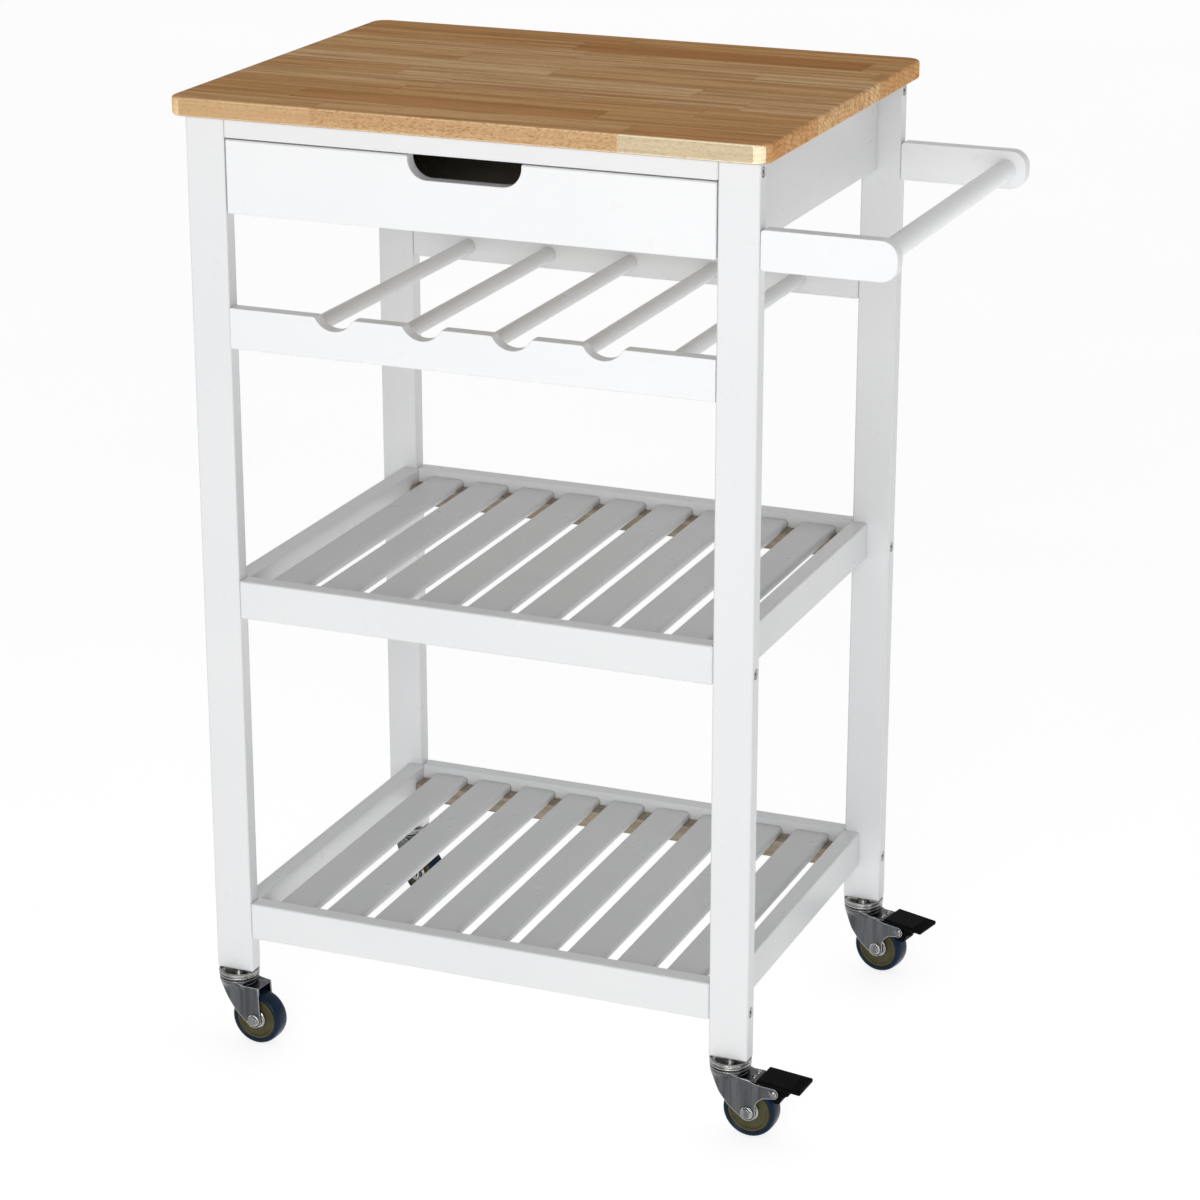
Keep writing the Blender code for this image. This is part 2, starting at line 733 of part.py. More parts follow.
def make_caster(name, side_x, side_y, angle, braked):
    """One swivel caster: fixed stem, turning fork, wheel and, on some, a brake."""
    pivot = bpy.data.objects.new(name + "_swivel_axis", None)
    CART.objects.link(pivot)
    pivot.parent = CART_FRAME
    pivot.location = (side_x * LEG_CENTRE_X, side_y * LEG_CENTRE_Y, LEG_BOTTOM)
    pivot.rotation_euler = (0, 0, angle)

    stem = turned(name + "_stem", stem_profile(), 24)
    stem.location = pivot.location
    place(smooth(stem), ZINC)
    make_fork(name, pivot, braked)
    make_axle(name, pivot)

    spin = bpy.data.objects.new(name + "_wheel_axis", None)
    CART.objects.link(spin)
    spin.parent = pivot
    spin.location = (TRAIL, 0, -AXLE_DROP)
    make_wheel(name, spin)
    if braked:
        make_brake(name, pivot)


# ---------------------------------------------------------------- assembly
clear_scene()
CART = new_collection("kitchen_island_cart")
TOOLS = new_collection("cutters_and_joined_parts")
CART_FRAME = bpy.data.objects.new("cart_frame", None)
CART.objects.link(CART_FRAME)
CART_FRAME.location = (-BOX_CENTRE_X, 0, 0)

make_worktop()
for leg_name, leg_x, leg_y in (
    ("leg_front_left", -1, -1),
    ("leg_front_right", 1, -1),
    ("leg_back_left", -1, 1),
    ("leg_back_right", 1, 1),
):
    make_leg(leg_name, leg_x, leg_y)
make_top_frame()
make_drawer()
make_runners()
make_wine_rack()
make_shelf("mid_shelf", MID_SHELF_BASE)
make_shelf("bottom_shelf", BOTTOM_SHELF_BASE)
make_towel_bar()
for caster_name, caster_spec in CASTERS.items():
    make_caster(caster_name, *caster_spec)
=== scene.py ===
"""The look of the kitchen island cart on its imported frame: materials, the round and
pressed parts at full detail, the frame bolts, a pale floor, studio light and a camera."""

import json
from math import atan2, cos, pi, radians, sin

import bmesh
import bpy
from mathutils import Matrix, Vector


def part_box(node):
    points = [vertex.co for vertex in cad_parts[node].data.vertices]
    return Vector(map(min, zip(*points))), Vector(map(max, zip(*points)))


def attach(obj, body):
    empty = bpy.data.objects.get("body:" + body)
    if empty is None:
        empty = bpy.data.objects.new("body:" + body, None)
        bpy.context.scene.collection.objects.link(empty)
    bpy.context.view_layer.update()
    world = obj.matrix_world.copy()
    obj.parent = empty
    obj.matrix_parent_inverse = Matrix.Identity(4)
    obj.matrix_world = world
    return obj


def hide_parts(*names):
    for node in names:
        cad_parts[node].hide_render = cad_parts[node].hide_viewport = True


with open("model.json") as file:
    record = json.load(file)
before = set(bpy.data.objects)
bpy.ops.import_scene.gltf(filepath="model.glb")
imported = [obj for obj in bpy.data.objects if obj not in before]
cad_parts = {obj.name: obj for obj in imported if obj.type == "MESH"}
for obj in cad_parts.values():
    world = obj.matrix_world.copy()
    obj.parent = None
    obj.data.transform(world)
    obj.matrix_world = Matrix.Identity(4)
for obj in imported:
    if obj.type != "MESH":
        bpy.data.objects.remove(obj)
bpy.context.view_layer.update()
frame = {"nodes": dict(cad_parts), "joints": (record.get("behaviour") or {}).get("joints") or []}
NODES = frame["nodes"]
JOINTS = {joint["name"]: joint for joint in frame["joints"]}

# ---------------------------------------------------------------- wooden parts (metres)
STAVE_ROWS = 10
STAVE_LENGTH = 0.268
STAVE_START = 0.448         # from the front row's first joint to the middle of the frame
FINGER_DEPTH = 0.0022
WORKTOP_CORNER = 0.014
WORKTOP_RIM = 0.0026
ROD_EASE = 0.0008
SLAT_COUNT = 9
SLAT_PITCH = 0.0462
SLAT_WIDTH = 0.034
SLAT_THICKNESS = 0.009
SLAT_ROUNDING = 0.0034
BATTEN_DEPTH = 0.019
BATTEN_ROUNDING = 0.0006
BATTEN_SETBACK = 0.0004     # how far a batten stops short of the ends of the slats
BATTEN_IN_SLAT = 0.0018     # how far it reaches up between their rounded edges
BOLT_HEIGHTS = (0.1120, 0.4155, 0.8310)
BOLT_SINK = 0.0018          # how far a bolt head's rim lies below the leg's face
STEEL_SLOT = "zinc_plated_steel"

# ---------------------------------------------------------------- casters (metres)
CASTERS = {"fl": False, "fr": True, "bl": False, "br": True}    # name and whether it has a brake
HEAD_PROFILE = [
    (0.0, 0.0), (0.0060, 0.0), (0.0060, -0.0034), (0.0132, -0.0036), (0.0150, -0.0018),
    (0.0166, -0.0007), (0.0178, -0.0007), (0.0183, -0.0014), (0.0183, -0.0022), (0.0178, -0.0029),
    (0.0170, -0.0034), (0.0170, -0.0038), (0.0178, -0.0043), (0.0181, -0.0050), (0.0178, -0.0058),
    (0.0168, -0.0064), (0.0, -0.0064),
]
CUP_PROFILE = [
    (0.0, -0.0067), (0.0160, -0.0067), (0.0172, -0.0071), (0.0177, -0.0078), (0.0176, -0.0090),
    (0.0168, -0.0110), (0.0150, -0.0128), (0.0, -0.0132),
]
CUP_RADIUS = 0.0177
NOSE_RADIUS = 0.0172
NOSE_LENGTH = 0.0150
FORK_LEVELS = (             # height, and how far the section has turned from cup to fork
    (-0.0080, 0.0), (-0.0100, 0.05), (-0.0120, 0.25), (-0.0140, 0.55), (-0.0160, 0.82),
    (-0.0185, 1.0), (-0.0260, 1.0), (-0.0380, 1.0), (-0.0540, 1.0),
)
SHEET = 0.0018              # thickness of the fork's pressed sheet
PLATE_OUTER = 0.0115        # from the middle of the fork to the outside of its sides
WEB_END = {False: 0.0257, True: 0.0285}
WEB_TOP = -0.0128
WEB_BOTTOM = -0.0148
AXLE_AT = (0.0203, -0.0444)
PIVOT_AT = (0.0435, -0.0220)
EYE_RADIUS = 0.0074         # of the fork's rounded end round the axle
PIVOT_EYE_RADIUS = 0.0048
TYRE_HALF_WIDTH = 0.0085
PEDAL_LOW = (-0.0141, -0.0150, 0.0068)
PEDAL_HIGH = (0.0257, 0.0150, 0.0108)
PEDAL_TILT = radians(4.0)
RIB_COUNT = 6
RIB_PITCH = 0.0016
SHOE_HALF_WIDTH = 0.0086
LAY_ALONG_Y = Matrix.Rotation(pi / 2, 4, "X")      # turns a lathe's Z axis to lie along Y

# ---------------------------------------------------------------- paint and wood colours
FRAME_WHITE = 0.78
# A lighter copy of the same white paint, for the front parts listed below: painted light.
PAINTED_LIGHT_WHITE = 0.85
# A darker copy of the same white paint, for the slats: painted shade.
SLAT_PAINTED_SHADE_WHITE = 0.65
# A lighter copy of the same white paint, for the towel rod: painted light from above and the right.
TOWEL_ROD_PAINTED_LIGHT_WHITE = 0.92
# Front parts that get the lighter copy of the white paint: painted light from the front.
PAINTED_LIGHT_PARTS = ("drawer_front", "towel_arm_front", "towel_arm_back", "wine_rail_front")
PAINT_SHADE = (0.66, 0.66, 0.65, 1)
STAVE_TONES = [
    (0.00, (0.62, 0.310, 0.130)),
    (0.15, (0.78, 0.450, 0.205)),
    (0.60, (0.87, 0.545, 0.275)),
    (1.00, (0.95, 0.670, 0.375)),
]
# Front face of the worktop: paler, less saturated wood, made lighter still as painted light from the
# front.
FRONT_EDGE_WOOD_AND_LIGHT = (0.92, 0.67, 0.38, 1)
SAPWOOD = (1.0, 0.91, 0.64, 1)
GROWTH_DARK = (0.44, 0.200, 0.075, 1)
FLECK_DARK = (0.42, 0.17, 0.07, 1)
PORE_DARK = (0.34, 0.15, 0.06, 1)
GLUE_DARK = (0.22, 0.10, 0.035, 1)
# The worktop's underside is the same wood; this dark neutral grey is painted shade that holds back its
# warm bounce light.
UNDERSIDE_BOUNCE_SHADE = (0.42, 0.385, 0.34, 1)

# ---------------------------------------------------------------- studio
CAMERA_POSITION = (1.1028, -2.7111, 1.4108)
CAMERA_AZIMUTH = 22.32
CAMERA_PITCH = -19.13
CAMERA_LENS = 105.5
CAMERA_SENSOR = 36.0
CAMERA_REACH = 200.0

LAMP_POSITION = (0.55, -3.15, 1.10)
LAMP_AIM = (0.0, 0.0, 0.42)
LAMP_SIZE = 1.8
LAMP_POWER = 46.0
WORLD_STRENGTH = 1.0
WORLD_UPWARD = ((0.05, 1.0), (0.85, 0.62))                # grey by the upward part of the direction
WORLD_SIDEWAYS = ((0.0, 0.40), (0.45, 1.0), (1.0, 0.72))  # grey from the left side to the right
WORLD_BACKWARD = ((0.10, 0.42), (0.85, 1.0))              # grey from the front to the back
FLOOR_HALF = 40.0
FLOOR_GREY = 0.35
FLOOR_GLOW = 0.80


# ---------------------------------------------------------------- node trees
SOCKETS = {
    "metallic": "Metallic",
    "specular": "Specular IOR Level",
    "glow_colour": "Emission Color",
    "glow": "Emission Strength",
}


class Nodes:
    """A node tree, with short ways to add to it."""

    def __init__(self, tree):
        self.tree = tree

    def feed(self, socket, value):
        """Set a socket, or link it when the value is another node's output."""
        if isinstance(value, bpy.types.NodeSocket):
            self.tree.links.new(value, socket)
        else:
            socket.default_value = value

    def add(self, kind, inputs=None, **settings):
        """Make a node with its settings and inputs."""
        made = self.tree.nodes.new(kind)
        for key, value in settings.items():
            setattr(made, key, value)
        for key, value in (inputs or {}).items():
            self.feed(made.inputs[key], value)
        return made

    def math(self, operation, first, second=0.0):
        """One arithmetic step."""
        return self.add("ShaderNodeMath", {0: first, 1: second}, operation=operation).outputs[0]

    def times(self, first, second):
        """Two values multiplied."""
        return self.math("MULTIPLY", first, second)

    def plus(self, first, second):
        """Two values added."""
        return self.math("ADD", first, second)

    def ramp(self, factor, stops):
        """A ramp from (position, colour or grey) stops."""
        made = self.add("ShaderNodeValToRGB", {"Fac": factor})
        elements = made.color_ramp.elements
        while len(elements) < len(stops):
            elements.new(0.5)
        for element, (place, colour) in zip(elements, stops):
            element.position = place
            element.color = (*colour, 1.0) if isinstance(colour, tuple) else (colour,) * 3 + (1.0,)
        return made.outputs["Color"]


class Shading(Nodes):
    """One material's node tree, its shader and the patterns that feed it."""

    def __init__(self, name):
        self.material = bpy.data.materials.new(name)
        self.material.use_nodes = True
        super().__init__(self.material.node_tree)
        self.shader = self.tree.nodes["Principled BSDF"]
        self.position = self.add("ShaderNodeTexCoord").outputs["Object"]

    def stretch(self, scale, vector=None):
        """The position, or another vector, scaled differently along each axis."""
        vector = self.position if vector is None else vector
        return self.add("ShaderNodeMapping", {"Vector": vector, "Scale": scale}).outputs[0]

    def vector_math(self, operation, first, second):
        """One step of arithmetic on two vectors."""
        return self.add("ShaderNodeVectorMath", {0: first, 1: second}, operation=operation).outputs

    def noise(self, vector, scale, detail=3.0, roughness=0.5, distortion=0.0):
        """A noise value between 0 and 1."""
        inputs = {
            "Vector": vector,
            "Scale": scale,
            "Detail": detail,
            "Roughness": roughness,
            "Distortion": distortion,
        }
        return self.add("ShaderNodeTexNoise", inputs).outputs["Fac"]

    def mix(self, factor, first, second):
        """Two colours mixed."""
        made = self.add("ShaderNodeMix", data_type="RGBA")
        self.feed(made.inputs[0], factor)
        self.feed(made.inputs[6], first)
        self.feed(made.inputs[7], second)
        return made.outputs[2]

    def bump(self, height, distance, soft_edge=0.0):
        """A bump in metres, over edges softened by a small radius."""
        inputs = {"Height": height, "Distance": distance, "Strength": 1.0}
        if soft_edge:
            inputs["Normal"] = self.add("ShaderNodeBevel", {"Radius": soft_edge}, samples=4).outputs[0]
        normal = self.add("ShaderNodeBump", inputs).outputs[0]
        self.feed(self.shader.inputs["Normal"], normal)

    def finish(self, colour, roughness, **values):
        """Feed the shader's main sockets and return the material."""
        self.feed(self.shader.inputs["Base Color"], colour)
        self.feed(self.shader.inputs["Roughness"], roughness)
        for key, value in values.items():
            self.feed(self.shader.inputs[SOCKETS[key]], value)
        return self.material


# ---------------------------------------------------------------- materials
def white_paint(name, along, whiteness):
    """Satin white paint over wood whose faint grain runs along one axis."""
    shading = Shading(name)
    squeeze = [1.0, 1.0, 1.0]
    squeeze[along] = 0.04
    grain = shading.noise(shading.stretch(tuple(squeeze)), 420.0, 4.0, 0.6)
    cloud = shading.noise(shading.position, 7.0, 2.0)
    stipple = shading.noise(shading.position, 900.0, 2.0)
    thin = (whiteness * 0.97, whiteness * 0.98, whiteness * 0.99)
    thick = (whiteness, whiteness * 1.005, whiteness * 1.015)
    colour = shading.ramp(cloud, [(0.3, thin), (0.7, thick)])
    grain_shade = shading.ramp(grain, [(0.50, 0.0), (0.75, 0.05)])
    colour = shading.mix(grain_shade, colour, PAINT_SHADE)
    gloss = shading.noise(shading.position, 35.0, 3.0)
    roughness = shading.ramp(gloss, [(0.3, 0.27), (0.7, 0.36)])
    relief = shading.plus(shading.times(grain, 0.7), shading.times(stipple, 0.3))
    shading.bump(relief, 0.00006, soft_edge=0.0012)
    return shading.finish(colour, roughness, specular=0.3)


def stave_cells(shading):
    """Row and stave number of each point, and its place across the rows and along the staves."""
    low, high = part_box("worktop")
    stave_width = (high.y - low.y) / STAVE_ROWS
    axes = shading.add("ShaderNodeSeparateXYZ", {0: shading.position})
    x, y = axes.outputs[0], axes.outputs[1]
    across = shading.math("DIVIDE", shading.math("SUBTRACT", y, low.y), stave_width)
    row = shading.math("FLOOR", across)

    # Every row but the front one is shifted by an amount of its own.
    white_noise = shading.add("ShaderNodeTexWhiteNoise", {"W": row}, noise_dimensions="1D")
    shift = shading.times(white_noise.outputs["Value"], STAVE_LENGTH)
    shift = shading.times(shift, shading.math("MINIMUM", row, 1.0))

    # A finger joint's edge zigzags a little, so the length is shifted by a triangle wave.
    fingers = shading.math("PINGPONG", y, FINGER_DEPTH)
    length = shading.plus(shading.plus(shading.plus(x, STAVE_START), shift), fingers)
    along = shading.math("DIVIDE", length, STAVE_LENGTH)
    return row, shading.math("FLOOR", along), across, along


def butcher_block():
    """Oiled hardwood staves, finger-jointed end to end, with growth rings through each."""
    shading = Shading("butcher_block")
    row, cell, across, along = stave_cells(shading)
    key = shading.add("ShaderNodeCombineXYZ", {0: row, 1: cell, 2: 3.0}).outputs[0]
    stave = shading.add("ShaderNodeTexWhiteNoise", {"Vector": key}, noise_dimensions="3D")

    # Every stave samples the grain at a place of its own.
    jump = shading.vector_math("MULTIPLY", stave.outputs["Color"], (3.0, 0.9, 0.35))[0]
    own = shading.vector_math("ADD", shading.position, jump)[0]
    streaks = shading.stretch((0.035, 1.0, 1.0), own)
    fine = shading.noise(streaks, 900.0, 5.0, 0.65)
    broad = shading.noise(streaks, 130.0, 3.0, 0.5, 0.6)
    pores = shading.noise(shading.stretch((0.12, 1.0, 1.0), own), 1500.0, 2.0, 0.5)
    flecks = shading.noise(shading.stretch((0.35, 1.0, 1.0), own), 900.0, 3.0, 0.6)
    bent = shading.stretch((0.10, 1.0, 1.0), own)
    rings = shading.add(
        "ShaderNodeTexWave",
        {"Vector": bent, "Scale": 75.0, "Distortion": 3.5, "Detail": 3.0, "Detail Scale": 1.2},
        wave_type="RINGS",
        rings_direction="X",
    ).outputs["Fac"]

    # The front edge is paler: partly its paler, less saturated wood and partly painted light from the
    # front; its right-hand piece is sapwood and its middle piece is flecked.
    true_normal = shading.add("ShaderNodeNewGeometry").outputs["True Normal"]
    facing = shading.add("ShaderNodeSeparateXYZ", {0: true_normal})
    front_face = shading.math("LESS_THAN", facing.outputs[1], -0.6)
    front_row = shading.times(shading.math("LESS_THAN", row, 0.5), front_face)
    middle_piece = shading.times(front_row, shading.math("COMPARE", cell, 1.0))
    right_piece = shading.times(front_row, shading.math("GREATER_THAN", cell, 1.5))
    colour = shading.ramp(stave.outputs["Value"], STAVE_TONES)
    colour = shading.mix(shading.times(front_row, 0.75), colour, FRONT_EDGE_WOOD_AND_LIGHT)
    colour = shading.mix(shading.times(right_piece, 0.95), colour, SAPWOOD)

    # Growth rings and streaks, calmer on the front edge.
    calm = shading.math("SUBTRACT", 1.0, shading.times(front_row, 0.75))
    for pattern, stops in (
        (broad, [(0.47, 0.0), (0.62, 0.55)]),
        (rings, [(0.50, 0.0), (0.95, 0.35)]),
        (fine, [(0.46, 0.0), (0.70, 0.50)]),
    ):
        amount = shading.times(shading.ramp(pattern, stops), calm)
        colour = shading.mix(amount, colour, GROWTH_DARK)
    fleck_share = shading.plus(shading.times(middle_piece, 0.7), 0.3)
    fleck_shade = shading.times(shading.ramp(flecks, [(0.52, 0.0), (0.60, 0.55)]), fleck_share)
    colour = shading.mix(fleck_shade, colour, FLECK_DARK)
    colour = shading.mix(shading.ramp(pores, [(0.60, 0.0), (0.68, 0.45)]), colour, PORE_DARK)

    # Thin glue lines between rows and at the ends of staves.
    beside_row = shading.math("LESS_THAN", shading.math("PINGPONG", across, 0.5), 0.006)
    beside_end = shading.math("LESS_THAN", shading.math("PINGPONG", along, 0.5), 0.0011)
    glue = shading.math("MAXIMUM", beside_row, beside_end)
    colour = shading.mix(shading.times(glue, 0.45), colour, GLUE_DARK)

    # Underside painted a dark neutral grey in place of its wood: painted shade against its warm bounce
    # light.
    bounce_shaded_underside = shading.math("LESS_THAN", facing.outputs[2], -0.7)
    colour = shading.mix(shading.times(bounce_shaded_underside, 0.9), colour, UNDERSIDE_BOUNCE_SHADE)
    roughness = shading.ramp(fine, [(0.3, 0.38), (0.8, 0.52)])
    shading.bump(shading.math("SUBTRACT", 1.0, pores), 0.0001)
    return shading.finish(colour, roughness, specular=0.0)


def steel(name, dark, light, rough, edge):
    """Zinc-plated steel: vertical streaks, partly drawn marks and partly painted reflection, fine
    scratches and painted highlights along the edges.
    """
    shading = Shading(name)
    # Vertical streaks in the colour: partly drawn marks in the steel, partly painted reflection stripes.
    streak = shading.noise(shading.stretch((1.0, 1.0, 0.06)), 210.0, 2.0)
    scratch = shading.noise(shading.stretch((1.0, 1.0, 0.08)), 2200.0, 2.0)
    colour = shading.ramp(streak, [(0.35, dark), (0.65, light)])

    # Where the rounded normal leaves the true one there is an edge, and there the colour gets a painted
    # highlight.
    soft = shading.add("ShaderNodeBevel", {"Radius": 0.0011}, samples=8).outputs[0]
    flat = shading.add("ShaderNodeNewGeometry").outputs["Normal"]
    alike = shading.vector_math("DOT_PRODUCT", soft, flat)["Value"]
    edge_highlight = shading.ramp(alike, [(0.90, 1.0), (0.985, 0.0)])
    colour = shading.mix(edge_highlight, colour, (edge, edge, edge, 1))
    roughness = shading.ramp(scratch, [(0.3, rough), (0.8, rough + 0.16)])
    shading.bump(scratch, 0.00003, soft_edge=0.0004)
    return shading.finish(colour, roughness, metallic=1.0)


def moulded(name, base, spot, rough, grain_scale, depth, specular):
    """Moulded plastic or rubber with a fine surface grain."""
    shading = Shading(name)
    grain = shading.noise(shading.position, grain_scale, 3.0, 0.6)
    cloud = shading.noise(shading.position, 110.0, 2.0)
    spots = shading.ramp(cloud, [(0.35, 0.0), (0.75, 1.0)])
    colour = shading.mix(spots, (*base, 1), (*spot, 1))
    roughness = shading.ramp(grain, [(0.3, rough), (0.75, rough + 0.14)])
    shading.bump(grain, depth)
    return shading.finish(colour, roughness, specular=specular)


def bare_wood(name, dark, light):
    """Unpainted wood, for the drawer's bottom and the battens."""
    shading = Shading(name)
    streak = shading.noise(shading.stretch((0.05, 1.0, 1.0)), 260.0, 4.0, 0.6)
    colour = shading.ramp(streak, [(0.3, dark), (0.7, light)])
    shading.bump(streak, 0.0001)
    return shading.finish(colour, 0.6)


def floor_material():
    """Plain pale floor that glows a little, like a lit studio table."""
    shading = Shading("pale_floor")
    cloud = shading.noise(shading.position, 1.5, 2.0)
    colour = shading.ramp(cloud, [(0.3, FLOOR_GREY), (0.7, FLOOR_GREY + 0.02)])
    return shading.finish(colour, 0.7, specular=0.1, glow_colour=(1, 1, 1, 1), glow=FLOOR_GLOW)


# ---------------------------------------------------------------- mesh helpers
def bmesh_to_mesh(work):
    """Weld a bmesh, turn its faces outward and hand over its mesh."""
    bmesh.ops.remove_doubles(work, verts=work.verts, dist=0.000005)
    bmesh.ops.recalc_face_normals(work, faces=work.faces)
    mesh = bpy.data.meshes.new("shape")
    work.to_mesh(mesh)
    work.free()
    return mesh


def moved(mesh, matrix):
    """The same mesh, moved."""
    mesh.transform(matrix)
    return mesh


def joined(meshes):
    """One mesh out of several."""
    work = bmesh.new()
    for mesh in meshes:
        work.from_mesh(mesh)
    mesh = bpy.data.meshes.new("shape")
    work.to_mesh(mesh)
    work.free()
    return mesh


def combined(first, second, operation):
    """Mesh of an exact Boolean between two meshes."""
    keep = bpy.data.objects.new("keep", first)
    tool = bpy.data.objects.new("tool", second)
    for helper in (keep, tool):
        bpy.context.scene.collection.objects.link(helper)
    modifier = keep.modifiers.new("cut", "BOOLEAN")
    modifier.operation = operation
    modifier.solver = "EXACT"
    modifier.object = tool
    graph = bpy.context.evaluated_depsgraph_get()
    mesh = bpy.data.meshes.new_from_object(keep.evaluated_get(graph))
    for helper in (keep, tool):
        bpy.data.objects.remove(helper)
    return mesh


def add_piece(name, mesh, finish, body, replaces=(), crease=35.0):
    """Make an object of a finished mesh, give it a material and ride it on a body."""
    mesh.shade_smooth()
    mesh.set_sharp_from_angle(angle=radians(crease))
    piece = bpy.data.objects.new(name, mesh)
    bpy.context.scene.collection.objects.link(piece)

    # Weighted normals keep large faces flat beside small rounded edges.
    even = piece.modifiers.new("even", "WEIGHTED_NORMAL")
    even.keep_sharp = True
    graph = bpy.context.evaluated_depsgraph_get()
    mesh = bpy.data.meshes.new_from_object(piece.evaluated_get(graph))
    mesh.name = name
    piece.modifiers.clear()
    piece.data = mesh
    mesh.materials.clear()
    mesh.materials.append(finish)
    if replaces:
        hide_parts(*replaces)
    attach(piece, body)


def lathe(profile, sides=64, closed=False):
    """Mesh of a profile of (radius, height) points turned about Z."""
    work = bmesh.new()
    points = list(profile) + ([profile[0]] if closed else [])
    verts = [work.verts.new((radius, 0.0, height)) for radius, height in points]
    edges = [work.edges.new(pair) for pair in zip(verts, verts[1:])]
    bmesh.ops.spin(
        work, geom=verts + edges, axis=(0, 0, 1), cent=(0, 0, 0), angle=2 * pi, steps=sides,
        use_merge=True, use_duplicate=False,
    )
    return bmesh_to_mesh(work)


def mirrored(half):
    """The upper half of a lathe's profile, followed by its mirror image below."""
    return half + [(radius, -height) for radius, height in reversed(half)]


def box_work(low, high):
    """A bmesh with a sharp box between two corners."""
    work = bmesh.new()
    place = Matrix.Translation((low + high) / 2) @ Matrix.Diagonal((*(high - low), 1))
    bmesh.ops.create_cube(work, size=1.0, matrix=place)
    return work


def bevelled(work, edges, radius, segments):
    """Round some edges of a bmesh."""
    bmesh.ops.bevel(work, geom=edges, offset=radius, segments=segments, affect="EDGES", profile=0.5)


def rounded_box(low, high, radius, segments=4):
    """Mesh of a box whose edges are all rounded."""
    work = box_work(Vector(low), Vector(high))
    bevelled(work, work.edges[:], radius, segments)
    return bmesh_to_mesh(work)


def prism(points, low, high, plane="XZ"):
    """Mesh of a flat outline pushed from one depth to another, with no rounding."""
    work = bmesh.new()
    if plane == "XZ":
        corners = [(across, low, up) for across, up in points]
        push = (0, high - low, 0)
    else:
        corners = [(across, up, low) for across, up in points]
        push = (0, 0, high - low)
    face = work.faces.new([work.verts.new(corner) for corner in corners])
    pushed = bmesh.ops.extrude_face_region(work, geom=[face])
    far_corners = [item for item in pushed["geom"] if isinstance(item, bmesh.types.BMVert)]
    bmesh.ops.translate(work, verts=far_corners, vec=push)
    return bmesh_to_mesh(work)


def regular_hexagon(radius, turn):
    """Corners of a hexagon turned by some degrees."""
    angles = [radians(60 * corner + turn) for corner in range(6)]
    return [(radius * cos(angle), radius * sin(angle)) for angle in angles]


def arc(centre, radius, start, end, steps):
    """Points on an arc, angles in degrees."""
    angles = [radians(start + (end - start) * step / steps) for step in range(steps + 1)]
    return [(centre[0] + radius * cos(angle), centre[1] + radius * sin(angle)) for angle in angles]


# ---------------------------------------------------------------- wooden parts
def is_upright(edge):
    """Whether an edge of a box stands on end."""
    first, second = edge.verts
    return abs(first.co.z - second.co.z) > 0.001


def is_rim(edge):
    """Whether an edge lies level between a side face and the top or bottom."""
    first, second = edge.verts
    level = abs(first.co.z - second.co.z) < 0.0001 and len(edge.link_faces) == 2
    return level and any(abs(face.normal.z) < 0.5 for face in edge.link_faces)


def make_worktop(finish):
    """Slab with finely rounded corners and rim, in place of the coarser solid."""
    work = box_work(*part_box("worktop"))
    bevelled(work, [edge for edge in work.edges if is_upright(edge)], WORKTOP_CORNER, 12)
    bevelled(work, [edge for edge in work.edges if is_rim(edge)], WORKTOP_RIM, 5)
    slab = bmesh_to_mesh(work)
    add_piece("worktop_slab", slab, finish, "cart", ["worktop"], crease=50)


def make_rods(rack_paint, towel_painted_light_paint):
    """Smooth round rods for the wine rack and the towel bar."""
    rods = {f"wine_rod_{index}": rack_paint for index in range(1, 6)}
    # The towel rod gets a lighter copy of the white paint: painted light.
    rods["towel_rod"] = towel_painted_light_paint
    for node, finish in rods.items():
        low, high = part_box(node)
        radius = (high.z - low.z) / 2
        half = (high.y - low.y) / 2
        profile = mirrored([(0, half), (radius - ROD_EASE, half), (radius, half - ROD_EASE)])
        mesh = moved(lathe(profile, 48), LAY_ALONG_Y)
        mesh = moved(mesh, Matrix.Translation((low + high) / 2))
        add_piece(node + "_round", mesh, finish, "cart", [node])


def make_slats(paint, shaded_raw_wood):
    """Slats with well-rounded edges, and the raw battens under their ends."""
    for shelf in ("mid_shelf", "bottom_shelf"):
        deck = f"{shelf}_slats"
        low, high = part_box(deck)
        middle = (low.x + high.x) / 2
        base = high.z - SLAT_THICKNESS
        slats = []
        for number in range(SLAT_COUNT):
            centre = middle + (number - (SLAT_COUNT - 1) / 2) * SLAT_PITCH
            near = (centre - SLAT_WIDTH / 2, low.y, base)
            far = (centre + SLAT_WIDTH / 2, high.y, high.z)
            slats.append(rounded_box(near, far, SLAT_ROUNDING, 6))
        # The slats' paint is a darker copy of the white: painted shade.
        add_piece(f"{deck}_round", joined(slats), paint, "cart", [deck], crease=50)

        battens = []
        for front in (low.y + BATTEN_SETBACK, high.y - BATTEN_DEPTH - BATTEN_SETBACK):
            far = (high.x, front + BATTEN_DEPTH, base + BATTEN_IN_SLAT)
            battens.append(rounded_box((low.x, front, low.z), far, BATTEN_ROUNDING, 2))
        # The battens' raw wood is darkened beyond its own colour: painted shade.
        add_piece(f"{shelf}_battens", joined(battens), shaded_raw_wood, "cart", ())


def frame_bolt_mesh():
    """Button head with a hexagon socket, its rim at height 0."""
    profile = [
        (0, 0.0016), (0.0030, 0.0015), (0.0040, 0.0008), (0.0043, 0), (0.0043, -0.0006), (0, -0.0006),
    ]
    socket = prism(regular_hexagon(0.0021, 0.0), 0.0002, 0.004, "XY")
    return combined(lathe(profile, 32), socket, "DIFFERENCE")


